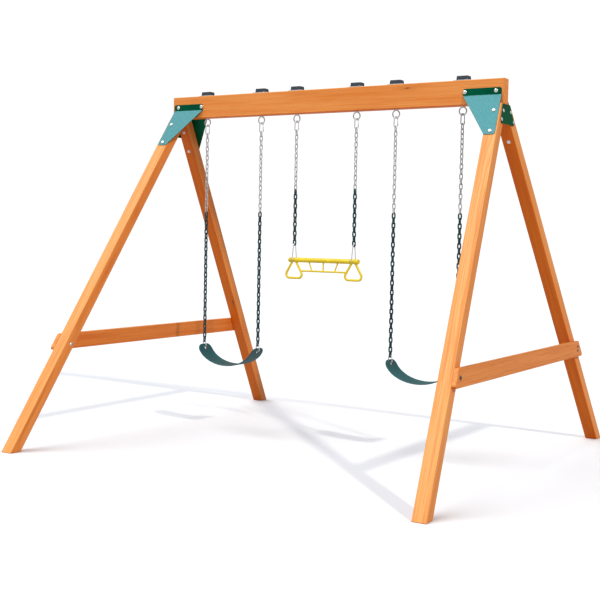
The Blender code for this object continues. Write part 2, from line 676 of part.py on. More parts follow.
def build_swing(name, centre, half, links, coat_top, eye, cap, top_clip):
    is_trapeze = name == "trapeze"
    tilt_z = last_link_z(links) - LINK_HALF if is_trapeze else belt_tilt_z(links)
    hinge = add_pivot(f"{name}_hinge", (centre, 0.0, PIVOT_Z))
    tilt = add_pivot(f"{name}_tilt", (centre, 0.0, tilt_z), hinge)
    chain = chain_mesh(links, coat_top, last_in_yz=not is_trapeze)
    lower, lower_name = (loop_mesh(tilt_z), "loop") if is_trapeze else (seat_clip_mesh(), "seat_clip")
    for end, side in (("left", -1), ("right", 1)):
        x = centre + side * half
        add_object(f"{name}_eye_{end}", eye, (x, 0.0, 0.0))
        add_object(f"{name}_cap_{end}", cap, (x, 0.0, 0.0))
        add_object(f"{name}_top_clip_{end}", top_clip, (x, 0.0, PIVOT_Z), parent=hinge)
        add_object(f"{name}_chain_{end}", chain, (x, 0.0, PIVOT_Z), parent=hinge)
        add_object(f"{name}_{lower_name}_{end}", lower, (x, 0.0, tilt_z), parent=tilt)
    if is_trapeze:
        add_object("trapeze_bar", bar_mesh(half, tilt_z), (centre, 0.0, tilt_z), parent=tilt)
        add_object("trapeze_ring_frame", ring_frame_mesh(half, tilt_z), (centre, 0.0, tilt_z), parent=tilt)
    else:
        add_object(f"{name}_belt_seat", belt_mesh(tilt_z), (centre, 0.0, tilt_z), parent=tilt)


for old in list(bpy.data.objects):
    bpy.data.objects.remove(old)

TIMBER = material("stained_timber", (0.80, 0.36, 0.10), 0.55)
GREEN_PAINT = material("green_powder_coat", (0.01, 0.16, 0.12), 0.35)
STEEL = material("galvanised_steel", (0.62, 0.64, 0.66), 0.35, 1.0)
GREEN_COAT = material("green_chain_coating", (0.01, 0.12, 0.12), 0.35)
GREEN_RUBBER = material("green_belt", (0.02, 0.14, 0.16), 0.5)
YELLOW_PLASTIC = material("yellow_plastic", (0.95, 0.68, 0.03), 0.3)
DARK_PLASTIC = material("dark_cap_plastic", (0.05, 0.06, 0.08), 0.45)

build_frame()
EYE, CAP, TOP_CLIP = eye_mesh(), cap_mesh(), top_clip_mesh()
for swing in SWINGS:
    build_swing(*swing, EYE, CAP, TOP_CLIP)
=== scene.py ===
"""Looks of the swing set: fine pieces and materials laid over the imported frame, in the frame's own metres.

The beam runs along X, the swings hang in YZ planes and -Y is the front. The timbers, brackets and gusset
plates stay as CAD nodes with better materials. The bolts, hangers, caps, clips, chains, belts and trapeze are
replaced by finer pieces that ride on the same bodies.
"""

import json
import math
import random

import bmesh
import bpy
from mathutils import Matrix, Vector


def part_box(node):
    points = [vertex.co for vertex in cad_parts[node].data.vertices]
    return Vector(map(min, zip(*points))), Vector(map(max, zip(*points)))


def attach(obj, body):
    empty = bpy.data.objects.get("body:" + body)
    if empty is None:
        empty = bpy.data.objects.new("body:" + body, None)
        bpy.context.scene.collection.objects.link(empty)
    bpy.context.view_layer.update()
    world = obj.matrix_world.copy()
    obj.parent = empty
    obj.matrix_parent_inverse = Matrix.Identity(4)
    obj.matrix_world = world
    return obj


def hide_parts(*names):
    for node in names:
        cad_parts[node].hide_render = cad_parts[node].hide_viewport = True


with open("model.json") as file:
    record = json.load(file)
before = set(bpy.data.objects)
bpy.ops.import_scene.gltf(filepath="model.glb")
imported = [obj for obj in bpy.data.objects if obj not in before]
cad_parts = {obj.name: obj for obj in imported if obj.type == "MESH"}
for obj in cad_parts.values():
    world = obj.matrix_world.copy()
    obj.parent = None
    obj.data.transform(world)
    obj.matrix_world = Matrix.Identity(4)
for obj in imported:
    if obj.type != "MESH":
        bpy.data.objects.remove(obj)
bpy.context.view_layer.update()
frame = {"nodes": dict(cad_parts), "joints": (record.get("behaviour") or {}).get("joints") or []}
NODES = frame["nodes"]
JOINTS = {joint["name"]: Vector(joint["pos_m"]) for joint in frame["joints"]}
random.seed(7)

LEG_LEAN = math.radians(32.0)
LEG_SPLAY = 0.1
CLIP_TURN = math.radians(-30.0)
ENDS = (("left", -1), ("right", 1))
FACES = (("front", -1), ("rear", 1))
X_AXIS, Y_AXIS, Z_AXIS = Vector((1, 0, 0)), Vector((0, 1, 0)), Vector((0, 0, 1))


# ---------------------------------------------------------------- node helpers


class Graph:
    """A material's node tree, with short calls to add and join nodes."""

    def __init__(self, name):
        self.material = bpy.data.materials.new(name)
        self.material.use_nodes = True
        self.nodes = self.material.node_tree.nodes
        self.links = self.material.node_tree.links
        self.shader = self.nodes["Principled BSDF"]

    def add(self, kind, inputs=None, **settings):
        node = self.nodes.new("ShaderNode" + kind)
        for key, value in settings.items():
            setattr(node, key, value)
        for key, value in (inputs or {}).items():
            self.feed(value, node.inputs[key])
        return node

    def feed(self, value, socket):
        if isinstance(value, bpy.types.NodeSocket):
            self.links.new(value, socket)
        else:
            socket.default_value = value

    def math(self, operation, first, second=0.0):
        return self.add("Math", {0: first, 1: second}, operation=operation).outputs[0]

    def object_place(self):
        """The shaded point, in the frame's metres."""
        return self.add("TexCoord").outputs["Object"]

    def upward(self):
        """How far the surface looks up: 1 on top, 0 on an upright face, -1 underneath."""
        return self.add("SeparateXYZ", {0: self.add("TexCoord").outputs["Normal"]}).outputs[2]

    def scaled(self, vector, scale):
        return self.add("VectorMath", {0: vector, 1: scale}, operation="MULTIPLY").outputs[0]

    def noise(self, vector, scale, detail=3.0, roughness=0.5):
        inputs = {"Vector": vector, "Scale": scale, "Detail": detail, "Roughness": roughness}
        return self.add("TexNoise", inputs).outputs["Fac"]

    def remap(self, value, low, high, to_low=0.0, to_high=1.0):
        """Turns the range from low to high into another one, smoothly and without passing its ends."""
        inputs = {"Value": value, "From Min": low, "From Max": high, "To Min": to_low, "To Max": to_high}
        return self.add("MapRange", inputs, interpolation_type="SMOOTHSTEP").outputs[0]

    def mix(self, factor, first, second):
        """Mixes two colours; each is a tuple or another node's output."""
        node = self.add("Mix", data_type="RGBA")
        self.feed(factor, node.inputs[0])
        for value, socket in ((first, node.inputs[6]), (second, node.inputs[7])):
            self.feed(value if isinstance(value, bpy.types.NodeSocket) else (*value, 1.0), socket)
        return node.outputs[2]

    def bump(self, height, distance, strength=1.0, normal=None):
        inputs = {"Height": height, "Distance": distance, "Strength": strength}
        if normal:
            inputs["Normal"] = normal
        return self.add("Bump", inputs).outputs[0]

    def finish(self, **sockets):
        """Sets or joins the shader's inputs by name, and gives the finished material."""
        for key, value in sockets.items():
            name = key.replace("_", " ").title().replace("Ior", "IOR")
            self.feed((*value, 1.0) if isinstance(value, tuple) else value, self.shader.inputs[name])
        return self.material


# ---------------------------------------------------------------- materials


def timber(name, origin, along, across, tone=1.0, seed=0.0, painted_light_share=1.0):
    """Stained softwood whose rings and fibres run along one board, with a few small knots.

    Painted light and shade: the stain is lighter and paler where a face looks up, standing in for a lit face,
    and deeper and redder where it looks down, standing in for a shaded one.
    """
    g = Graph(name)
    along, across = along.normalized(), across.normalized()
    local = Matrix((along, across, along.cross(across)))
    mapping = g.add("Mapping", {"Vector": g.object_place()})
    mapping.inputs["Rotation"].default_value = local.to_euler()
    mapping.inputs["Location"].default_value = -(local @ origin) + Vector((seed * 3.7, 0.0, 0.0))
    board = mapping.outputs[0]

    knot_space = g.scaled(board, (1.7, 7.0, 7.0))
    cells = g.add("TexVoronoi", {"Vector": knot_space, "Scale": 1.0, "Randomness": 1.0}, feature="F1")
    chosen = g.remap(g.add("SeparateColor", {0: cells.outputs["Color"]}).outputs[0], 0.70, 0.72)
    near = g.remap(cells.outputs["Distance"], 0.0, 0.22, 1.0, 0.0)
    knot = g.math("MULTIPLY", near, chosen)
    knot_core = g.math("MULTIPLY", g.remap(cells.outputs["Distance"], 0.025, 0.055, 1.0, 0.0), chosen)

    wander = g.noise(g.scaled(board, (0.9, 5.0, 5.0)), 1.0, 2.0)
    parts = g.add("SeparateXYZ", {0: board})
    beside = g.math("ADD", parts.outputs[1], 0.041 + 0.02 * math.sin(seed * 5.0))
    below = g.math("ADD", parts.outputs[2], 0.058 + 0.015 * math.cos(seed * 3.0))
    reach = g.math("SQRT", g.math("ADD", g.math("POWER", beside, 2.0), g.math("POWER", below, 2.0)))
    reach = g.math("ADD", reach, g.math("MULTIPLY", wander, 0.055))
    reach = g.math("ADD", reach, g.math("MULTIPLY", knot, 0.016))
    rings = g.math("SINE", g.math("MULTIPLY", reach, math.tau / 0.0062))
    rings = g.remap(rings, -0.2, 1.0)
    fibre = g.noise(g.scaled(board, (9.0, 420.0, 420.0)), 1.0, 3.0, 0.6)
    streak = g.noise(g.scaled(board, (1.1, 34.0, 34.0)), 1.0, 3.0, 0.55)
    patch = g.noise(g.scaled(board, (1.6, 6.0, 6.0)), 1.0, 2.0)

    # Painted light and shade by facing: upward faces get the paler, lit-looking tones, and downward faces the
    # deep, shaded-looking ones.
    painted_facing_light = g.remap(g.upward(), -0.55, 0.45, 0.0, painted_light_share)
    light = g.mix(painted_facing_light, (0.92 * tone, 0.205 * tone, 0.010 * tone), (0.97 * tone, 0.47 * tone, 0.150 * tone))
    deep = g.mix(painted_facing_light, (0.79 * tone, 0.130 * tone, 0.003 * tone), (0.89 * tone, 0.35 * tone, 0.075 * tone))
    color = g.mix(g.remap(streak, 0.30, 0.72), light, deep)
    color = g.mix(g.math("MULTIPLY", rings, 0.30), color, (0.66 * tone, 0.145 * tone, 0.010 * tone))
    color = g.mix(g.remap(patch, 0.35, 0.75, 0.0, 0.45), color, light)
    lines = g.noise(g.scaled(board, (2.4, 130.0, 130.0)), 1.0, 2.0, 0.6)
    color = g.mix(g.remap(lines, 0.50, 0.68, 0.0, 0.38), color, (0.62 * tone, 0.125 * tone, 0.010 * tone))
    color = g.mix(g.remap(fibre, 0.52, 0.80, 0.0, 0.34), color, (0.50 * tone, 0.095 * tone, 0.008 * tone))
    color = g.mix(g.math("MULTIPLY", knot, 0.30), color, (0.52, 0.11, 0.008))
    color = g.mix(g.math("MULTIPLY", knot_core, 0.70), color, (0.20, 0.045, 0.006))

    relief = g.math("MULTIPLY", rings, 0.45)
    relief = g.math("SUBTRACT", relief, g.math("MULTIPLY", fibre, 0.8))
    relief = g.math("SUBTRACT", relief, g.math("MULTIPLY", knot_core, 0.9))
    soft_edges = g.add("Bevel", {"Radius": 0.0025}, samples=4).outputs[0]
    normal = g.bump(relief, 0.0005, 0.55, soft_edges)
    roughness = g.remap(fibre, 0.3, 0.8, 0.42, 0.60)
    return g.finish(base_color=color, roughness=roughness, normal=normal, specular_ior_level=0.22)


def flake_paint():
    """Dark green powder coat with fine metallic flake, and a painted sky reflection: a pale teal where a face
    looks up.
    """
    g = Graph("green_powder_coat_look")
    place = g.object_place()
    peel = g.noise(place, 620.0, 2.0)
    flake = g.noise(place, 2600.0, 1.0)
    cloud = g.noise(place, 9.0, 3.0)
    upward = g.upward()
    # Painted reflection: faces that look up are mixed to a pale teal, standing in for the bright sky they
    # mirror.
    painted_sky_sheen = g.remap(upward, 0.10, 0.50)
    base_green = g.mix(g.remap(cloud, 0.3, 0.7), (0.0, 0.098, 0.040), (0.0, 0.128, 0.056))
    painted_sheen_teal = g.mix(g.remap(cloud, 0.3, 0.7), (0.024, 0.128, 0.133), (0.038, 0.158, 0.166))
    color = g.mix(painted_sky_sheen, base_green, painted_sheen_teal)
    # The flakes are real, but their bluish white on upward faces is painted sky reflection.
    flake_and_painted_sky = g.mix(painted_sky_sheen, (0.0, 0.24, 0.14), (0.26, 0.33, 0.45))
    color = g.mix(g.remap(flake, 0.54, 0.72, 0.0, 0.5), color, flake_and_painted_sky)
    soft_edges = g.add("Bevel", {"Radius": 0.0009}, samples=4).outputs[0]
    normal = g.bump(peel, 0.0002, 0.35, soft_edges)
    roughness = g.remap(cloud, 0.3, 0.7, 0.36, 0.44)
    return g.finish(base_color=color, metallic=0.6, roughness=roughness, normal=normal,
                    specular_tint=(0.05, 0.70, 0.40), coat_weight=g.remap(upward, 0.10, 0.50, 0.02, 0.16))


def zinc(name, tint=(0.84, 0.85, 0.86), roughness=0.32):
    """Bright galvanised steel: faint spangle, small dull patches and fine drawing marks."""
    g = Graph(name)
    place = g.object_place()
    spangle = g.add("TexVoronoi", {"Vector": place, "Scale": 260.0}).outputs["Color"]
    grey = g.add("SeparateColor", {0: spangle}).outputs[0]
    dull = g.noise(place, 55.0, 4.0)
    darker = tuple(value * 0.74 for value in tint)
    color = g.mix(g.remap(grey, 0.0, 1.0, 0.0, 0.35), tint, darker)
    color = g.mix(g.remap(dull, 0.52, 0.75, 0.0, 0.6), color, tuple(value * 0.55 for value in tint))
    rough = g.remap(dull, 0.35, 0.75, roughness, roughness + 0.22)
    normal = g.bump(g.noise(place, 900.0, 2.0), 0.00008, 0.5)
    return g.finish(base_color=color, metallic=0.7, roughness=rough, normal=normal)


def coating():
    """The chains' soft dark green dip: glossy, slightly uneven, with dusty hollows."""
    g = Graph("green_chain_coating_look")
    place = g.object_place()
    drip = g.noise(g.scaled(place, (1.0, 1.0, 0.45)), 120.0, 3.0)
    dust = g.noise(place, 420.0, 4.0, 0.65)
    color = g.mix(g.remap(drip, 0.35, 0.7), (0.001, 0.036, 0.038), (0.003, 0.058, 0.062))
    color = g.mix(g.remap(dust, 0.60, 0.85, 0.0, 0.25), color, (0.07, 0.15, 0.15))
    normal = g.bump(drip, 0.0006, 0.4)
    return g.finish(base_color=color, roughness=g.remap(dust, 0.4, 0.8, 0.30, 0.48), normal=normal)


def belt_rubber():
    """Moulded green rubber with a fine leather-like grain and scuffs."""
    g = Graph("green_belt_look")
    place = g.object_place()
    grain = g.add("TexVoronoi", {"Vector": place, "Scale": 620.0, "Smoothness": 0.4}, feature="SMOOTH_F1")
    scuff = g.noise(g.scaled(place, (1.0, 4.0, 1.0)), 38.0, 5.0, 0.65)
    cloud = g.noise(place, 7.0, 3.0)
    color = g.mix(g.remap(cloud, 0.3, 0.7), (0.005, 0.075, 0.080), (0.009, 0.105, 0.108))
    color = g.mix(g.remap(scuff, 0.58, 0.80, 0.0, 0.30), color, (0.08, 0.20, 0.20))
    normal = g.bump(grain.outputs["Distance"], 0.0004, 0.45)
    return g.finish(base_color=color, roughness=g.remap(scuff, 0.4, 0.8, 0.42, 0.62), normal=normal)


def moulded_plastic(name, color, roughness, translucent=0.0):
    """Moulded plastic: an even colour with faint flow clouds, fine grain and light scuffs."""
    g = Graph(name)
    place = g.object_place()
    cloud = g.noise(place, 14.0, 3.0)
    scuff = g.noise(place, 160.0, 5.0, 0.7)
    darker = tuple(value * 0.86 for value in color)
    worn = tuple(value * 0.75 + 0.08 for value in color)
    shade = g.mix(g.remap(cloud, 0.3, 0.7), color, darker)
    shade = g.mix(g.remap(scuff, 0.60, 0.82, 0.0, 0.35), shade, worn)
    normal = g.bump(g.noise(place, 1500.0, 2.0), 0.00012, 0.4)
    rough = g.remap(scuff, 0.4, 0.8, roughness, roughness + 0.15)
    return g.finish(base_color=shade, roughness=rough, normal=normal, subsurface_weight=translucent,
                    subsurface_scale=0.004)


GREEN_PAINT = flake_paint()
ZINC = zinc("galvanised_steel_look")
ZINC_CHAIN = zinc("bare_chain_look", (0.66, 0.67, 0.67), 0.36)
ZINC_BRIGHT = zinc("bright_bolt_look", (0.94, 0.95, 0.96), 0.24)
DARK_BOLT = zinc("dark_bolt_look", (0.21, 0.16, 0.13), 0.36)
GREEN_COAT = coating()
GREEN_RUBBER = belt_rubber()
YELLOW = moulded_plastic("yellow_plastic_look", (1.0, 0.74, 0.012), 0.34, 0.15)
CAP_PLASTIC = moulded_plastic("dark_cap_plastic_look", (0.034, 0.046, 0.066), 0.42)
GROMMET_METAL = zinc("dark_grommet_look", (0.16, 0.17, 0.18), 0.34)


# ---------------------------------------------------------------- mesh helpers


def add_piece(name, bm, look, body, replaces=(), smooth_angle=35.0):
    """Makes a piece from a bmesh in world metres, and lets it ride on a body."""
    bmesh.ops.recalc_face_normals(bm, faces=bm.faces)
    mesh = bpy.data.meshes.new(name)
    bm.to_mesh(mesh)
    bm.free()
    mesh.shade_smooth()
    mesh.set_sharp_from_angle(angle=math.radians(smooth_angle))
    mesh.materials.append(look)
    piece = bpy.data.objects.new(name, mesh)
    bpy.context.scene.collection.objects.link(piece)
    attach(piece, body)
    if replaces:
        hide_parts(*replaces)
    return piece


def sweep(bm, path, radius, sides, normal, closed=True, radii=None):
    """Adds round wire along a flat path square to normal; radii, if given, scales each ring of the wire."""
    count = len(path)
    turns = circle_turns(sides)
    rings = []
    for index, point in enumerate(path):
        last = path[index - 1] if closed or index else point
        following = path[(index + 1) % count] if closed or index + 1 < count else point
        ahead = (following - point).normalized() + (point - last).normalized()
        across = ahead.normalized().cross(normal)
        reach = radius * (radii[index] if radii else 1.0)
        ring = [point + reach * (math.cos(a) * across + math.sin(a) * normal) for a in turns]
        rings.append([bm.verts.new(place) for place in ring])
    skin(bm, rings, closed)
    if not closed:
        close_ends(bm, rings)


def skin(bm, rings, closed=False):
    """Joins rings of the same number of points with quads."""
    count = len(rings)
    for index in range(count if closed else count - 1):
        near, far = rings[index], rings[(index + 1) % count]
        for side in range(len(near)):
            after = (side + 1) % len(near)
            bm.faces.new((near[side], near[after], far[after], far[side]))


def close_ends(bm, rings):
    """Fills the first and the last ring with flat faces."""
    bm.faces.new(rings[0])
    bm.faces.new(rings[-1])


def turned(bm, profile, place, sides, hexagon=()):
    """Adds a solid turned from (radius, height) rows; rows in hexagon are six-sided, centre to flat."""
    rings = []
    sixth = math.tau / 6
    for row, (radius, height) in enumerate(profile):
        ring = []
        for side in range(sides):
            turn = math.tau * side / sides
            reach = radius / math.cos(turn % sixth - sixth / 2) if row in hexagon else radius
            at = Vector((reach * math.cos(turn), reach * math.sin(turn), height))
            ring.append(bm.verts.new(place @ at))
        rings.append(ring)
    skin(bm, rings)
    close_ends(bm, rings)


def pointing(origin, direction):
    """A placement with its Z along a direction."""
    turn = direction.normalized().to_track_quat("Z", "Y").to_matrix().to_4x4()
    return Matrix.Translation(origin) @ turn


def stadium(radius, length, steps=8, straight=4):
    """The centre line of an oval with round ends, this long in all, centred on (0, 0)."""
    points = []
    reach = length / 2 - radius
    for end in (1, -1):
        for step in range(steps + 1):
            turn = math.pi * step / steps
            ray = Vector((math.cos(turn), math.sin(turn)))
            points.append(ray * radius * end + Vector((0.0, end * reach)))
        for step in range(1, straight):
            points.append(Vector((-end * radius, end * reach * (1.0 - 2.0 * step / straight))))
    return points


def rounded(corners, radii, steps=8):
    """A closed outline round 2D corners, each turned into an arc of its radius."""
    outline = []
    count = len(corners)
    for index, radius in enumerate(radii):
        corner = Vector(corners[index])
        before = (Vector(corners[index - 1]) - corner).normalized()
        after = (Vector(corners[(index + 1) % count]) - corner).normalized()
        half = before.angle(after) / 2
        centre = corner + (before + after).normalized() * radius / math.sin(half)
        start = corner + before * radius / math.tan(half) - centre
        turn = start.angle_signed(corner + after * radius / math.tan(half) - centre)
        for step in range(steps + 1):
            outline.append(centre + Matrix.Rotation(-turn * step / steps, 2) @ start)
    return outline


def rectangle(width, depth, radius):
    """The outline of a rectangle with rounded corners, centred on (0, 0)."""
    x, y = width / 2, depth / 2
    return rounded([(-x, -y), (x, -y), (x, y), (-x, y)], [radius] * 4, 6)


def loft(bm, outlines, x):
    """Adds a closed skin through (outline, height) rows around an upright axis at x."""
    rings = [[bm.verts.new((p.x, p.y, height)) for p in outline] for outline, height in outlines]
    skin(bm, rings)
    close_ends(bm, rings)
    bmesh.ops.translate(bm, vec=(x, 0.0, 0.0), verts=bm.verts)


def circle_turns(count):
    """The angles of this many even steps round a circle."""
    return [math.tau * step / count for step in range(count)]


def apply_modifiers(piece):
    """Turns the piece's modifiers into its mesh."""
    graph = bpy.context.evaluated_depsgraph_get()
    mesh = bpy.data.meshes.new_from_object(piece.evaluated_get(graph))
    piece.modifiers.clear()
    piece.data = mesh
    return piece


def disc_centres(node, axis):
    """The centres of the flat ends of a bolt node, lowest first along its axis."""
    points = [v.co.copy() for v in NODES[node].data.vertices]
    heights = [p.dot(axis) for p in points]
    found = []
    for end in (min(heights), max(heights)):
        ring = [p for p, height in zip(points, heights) if abs(height - end) < 1e-5]
        unique = {tuple(round(c, 6) for c in p): p for p in ring}.values()
        found.append(sum(unique, Vector()) / len(unique))
    return found


# ---------------------------------------------------------------- timber


def leg_run(x_side, y_side):
    """The way down along a leg, for a drop of one metre."""
    return Vector((x_side * LEG_SPLAY, y_side * math.tan(LEG_LEAN), -1.0))


def dress_timbers():
    """Gives each board its own grain, running along it."""
    look = timber("beam_grain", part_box("top_beam")[0], X_AXIS, Z_AXIS, 1.05, 0.0)
    NODES["top_beam"].data.materials[0] = look
    for end, x_side in ENDS:
        down = Vector((x_side * LEG_SPLAY, 0.0, -1.0)).normalized()
        for face, y_side in FACES:
            node = f"leg_{face}_{end}"
            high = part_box(node)[1]
            seed = 2.0 + x_side + 0.45 * y_side
            top = Vector((x_side * high.x, 0.0, high.z))
            look = timber(f"{node}_grain", top, leg_run(x_side, y_side), X_AXIS, 1.0, seed)
            NODES[node].data.materials[0] = look
        node = f"side_brace_{end}"
        look = timber(f"{node}_grain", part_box(node)[0], Y_AXIS, -down, 0.95, 5.0 + x_side, 0.7)
        NODES[node].data.materials[0] = look


# ---------------------------------------------------------------- plates and bolts

HEAD_RADIUS = 0.0115
HEAD_HEIGHT = 0.006
SHANK_RADIUS = 0.004
THREAD_LENGTH = 0.0125
THREAD_PITCH = 0.00125
WASHER_RADIUS = 0.011
WASHER = 0.0016
NUT_FLAT = 0.0065  # centre to flat
NUT_HEIGHT = 0.007
NUT_INSET = 0.010  # from the bolt's tip to the nut's seat on its washer
MIDDLE_BOLT_RISE = 0.119  # from the lower bolt of a bracket up the leg
BRACE_SCREWS = ((0.898, 0.014), (0.890, -0.010))  # y, and height over the brace's middle
SCREW_FLAT = 0.0042
SCREW_HEIGHT = 0.0052
GUSSET_SCREWS = ((0.054, 1.989), (0.089, 1.938))  # y and z
GUSSET_SCREW_RADIUS = 0.0098
GUSSET_SCREW_HEIGHT = 0.005


def dress_plates():
    """Gives the brackets and gusset plates their paint."""
    for end, _ in ENDS:
        for node in (f"gusset_plate_{end}", f"bracket_front_{end}", f"bracket_rear_{end}"):
            NODES[node].data.materials[0] = GREEN_PAINT


def dome_head(bm, place, radius, height):
    """A carriage bolt's low dome with a small rim; Z of the place points out of the head."""
    profile = [(radius * 0.96, 0.0), (radius, height * 0.10), (radius, height * 0.20)]
    for step in range(1, 8):
        turn = math.pi / 2 * step / 8
        profile.append((radius * math.cos(turn), height * (0.2 + 0.8 * math.sin(turn))))
    profile.append((radius * 0.04, height))
    turned(bm, profile, place, 28)


def hex_nut(bm, place, flat, height, bore):
    """A nut standing on the place's XY plane, with its six corners chamfered to a round washer face."""
    corner = flat / math.cos(math.pi / 6)
    rim = (corner + flat) / 2
    profile = [
        (bore, 0.0),
        (flat * 0.96, 0.0),
        (rim * 0.98, height * 0.10),
        (flat, height * 0.13),
        (flat, height * 0.85),
        (rim * 0.98, height * 0.90),
        (flat * 0.90, height),
        (bore * 1.1, height),
        (bore, height * 0.92),
    ]
    turned(bm, profile, place, 36, hexagon=(3, 4))


def thread(bm, place, radius, length, pitch=THREAD_PITCH):
    """The threaded end of a bolt, as close rounded ridges, with a chamfered tip."""
    profile = [(radius * 0.86, 0.0)]
    ridges = max(int(length / pitch) - 1, 2)
    for ridge in range(ridges):
        profile.append((radius * 0.88, pitch * (ridge + 0.1)))
        profile.append((radius, pitch * (ridge + 0.5)))
        profile.append((radius * 0.88, pitch * (ridge + 0.9)))
    profile.append((radius * 0.78, length))
    turned(bm, profile, place, 20)


def washer(bm, place, radius, bore, thickness):
    """A flat washer with broken edges, standing on the place's XY plane."""
    profile = [
        (bore, 0.0),
        (radius - 0.0003, 0.0),
        (radius, 0.0003),
        (radius, thickness - 0.0003),
        (radius - 0.0003, thickness),
        (bore, thickness),
    ]
    turned(bm, profile, place, 32)


def bolt_pieces(name, head_top, tip, replaced=()):
    """A domed bolt with a washer, a nut and a threaded end, from the top of its head to its tip."""
    into = (tip - head_top).normalized()
    length = (tip - head_top).length
    seat = head_top + into * HEAD_HEIGHT
    bm = bmesh.new()
    dome_head(bm, pointing(seat, -into), HEAD_RADIUS, HEAD_HEIGHT)
    shank = length - HEAD_HEIGHT
    turned(bm, [(SHANK_RADIUS * 0.9, 0.0), (SHANK_RADIUS * 0.9, shank - 0.012)], pointing(seat, into), 16)
    thread(bm, pointing(tip - into * THREAD_LENGTH, into), SHANK_RADIUS, THREAD_LENGTH)
    add_piece(f"{name}_bolt", bm, ZINC_BRIGHT, "frame", replaced)
    nut_and_washer(name, tip, into)


def nut_and_washer(name, tip, into):
    """A nut on its washer near a bolt's tip; into is the direction from the head to the tip."""
    bm = bmesh.new()
    under = pointing(tip - into * (NUT_INSET + WASHER), into)
    washer(bm, under, WASHER_RADIUS, SHANK_RADIUS + 0.0001, WASHER)
    hex_nut(bm, pointing(tip - into * NUT_INSET, into), NUT_FLAT, NUT_HEIGHT, SHANK_RADIUS - 0.0001)
    add_piece(f"{name}_nut_and_washer", bm, ZINC_BRIGHT, "frame")


def hex_screw(name, place):
    """A hexagon-headed screw on a washer, standing on the place's XY plane."""
    bm = bmesh.new()
    washer(bm, place, SCREW_FLAT * 1.75, 0.003, 0.0015)
    profile = [
        (SCREW_FLAT * 1.15, 0.0015),
        (SCREW_FLAT * 1.15, 0.0023),
        (SCREW_FLAT, 0.0026),
        (SCREW_FLAT, SCREW_HEIGHT - 0.0008),
        (SCREW_FLAT * 0.86, SCREW_HEIGHT),
        (SCREW_FLAT * 0.10, SCREW_HEIGHT),
    ]
    turned(bm, profile, place, 36, hexagon=(2, 3))
    add_piece(name, bm, DARK_BOLT, "frame")


def build_bolts():
    """Every bolt and screw of the frame."""
    for end, x_side in ENDS:
        for place in ("inner", "outer"):
            node = f"beam_bolt_{end}_{place}"
            head_top, tip = disc_centres(node, Y_AXIS)
            bolt_pieces(node, head_top, tip, [node])
        for face, y_side in FACES:
            node = f"leg_bolt_{face}_{end}"
            outward = Vector((0.0, y_side * math.cos(LEG_LEAN), math.sin(LEG_LEAN)))
            tip, head_top = disc_centres(node, outward)
            bolt_pieces(node, head_top, tip, [node])
            up = -leg_run(x_side, y_side) * MIDDLE_BOLT_RISE
            bolt_pieces(f"middle_leg_bolt_{face}_{end}", head_top + up, tip + up)
        build_side_fasteners(end, x_side)


def build_side_fasteners(end, x_side):
    """The brace's bolt and screws, and the gusset plate's screws, all square to the legs' outer sides."""
    outward = Vector((x_side, 0.0, LEG_SPLAY)).normalized()
    node = f"brace_bolt_{end}"
    tip, head_top = disc_centres(node, outward)
    seat = head_top - outward * HEAD_HEIGHT
    brace_bolt(node, seat, tip, outward)
    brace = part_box(f"side_brace_{end}")
    middle_z = (brace[0].z + brace[1].z) / 2
    for number, (y, up) in enumerate(BRACE_SCREWS):
        at = Vector((seat.x, y, seat.z)) + Vector((-x_side * LEG_SPLAY, 0.0, 1.0)) * (middle_z + up - seat.z)
        hex_screw(f"brace_screw_{end}_{number}", pointing(at, outward))
    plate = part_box(f"gusset_plate_{end}")
    face_x = max(abs(plate[0].x), abs(plate[1].x))
    for face, y_side in FACES:
        for row, (y, z) in enumerate(GUSSET_SCREWS):
            at = Vector((x_side * (face_x - LEG_SPLAY * (z - plate[0].z)), y_side * y, z))
            bm = bmesh.new()
            dome_head(bm, pointing(at, outward), GUSSET_SCREW_RADIUS, GUSSET_SCREW_HEIGHT)
            add_piece(f"gusset_screw_{face}_{end}_{row}", bm, ZINC_BRIGHT, "frame")


def brace_bolt(node, seat, tip, outward):
    """The brace's long bolt: a hexagon head on a wide washer outside, a washer and nut inside."""
    bm = bmesh.new()
    place = pointing(seat, outward)
    washer(bm, place, 0.0125, 0.0042, WASHER)
    head = [
        (0.0078, WASHER),
        (0.0078, 0.0021),
        (NUT_FLAT, 0.0024),
        (NUT_FLAT, 0.0052),
        (0.0056, 0.0058),
        (0.0008, 0.0058),
    ]
    turned(bm, head, place, 36, hexagon=(2, 3))
    shank = (seat - tip).length
    turned(bm, [(SHANK_RADIUS * 0.9, 0.0), (SHANK_RADIUS * 0.9, shank - 0.012)], pointing(seat, -outward), 16)
    thread(bm, pointing(tip + outward * THREAD_LENGTH, -outward), SHANK_RADIUS, THREAD_LENGTH)
    add_piece(f"{node}_bolt", bm, DARK_BOLT, "frame", [node])
    nut_and_washer(node, tip, -outward)


# ---------------------------------------------------------------- hangers

EYE_RADIUS = 0.0225  # from the swings' axis up to an eye's centre
EYE_WIRE = 0.004
TOP_PLATE_WIDTH, TOP_PLATE_DEPTH = 0.104, 0.066
TOP_PLATE = 0.0025
HANGER_THREAD_PITCH = 0.0015
HANGER_NUT_FLAT = 0.0085
HANGER_NUT_HEIGHT = 0.007
CAP_TAPER = 0.005
FIT = 0.0003  # clearance between touching pieces


